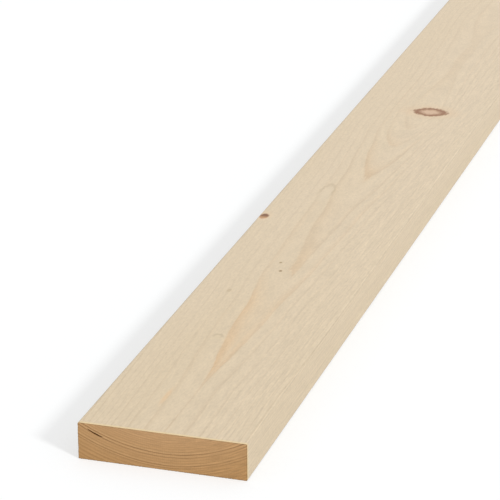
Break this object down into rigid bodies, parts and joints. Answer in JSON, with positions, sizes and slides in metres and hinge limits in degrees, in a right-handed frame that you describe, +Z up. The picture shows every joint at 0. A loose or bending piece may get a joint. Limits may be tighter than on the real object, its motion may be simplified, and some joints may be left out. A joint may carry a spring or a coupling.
{
  "type": "planed timber plank",
  "caption": "Long flat softwood board of rectangular section, planed on all faces, with eased long corners, square crosscut ends and a small resin pocket open at one end.",
  "frame": {"origin": "middle of the underside, halfway along the board", "axes": "+X across the width, +Y along the grain away from the end with the resin pocket, +Z up through the thickness"},
  "size_m": [0.12, 1.8, 0.027],
  "materials": {
    "planed_spruce": "matte"
  },
  "bodies": {
    "root": {"plank": "planed_spruce"}
  },
  "joints": []
}
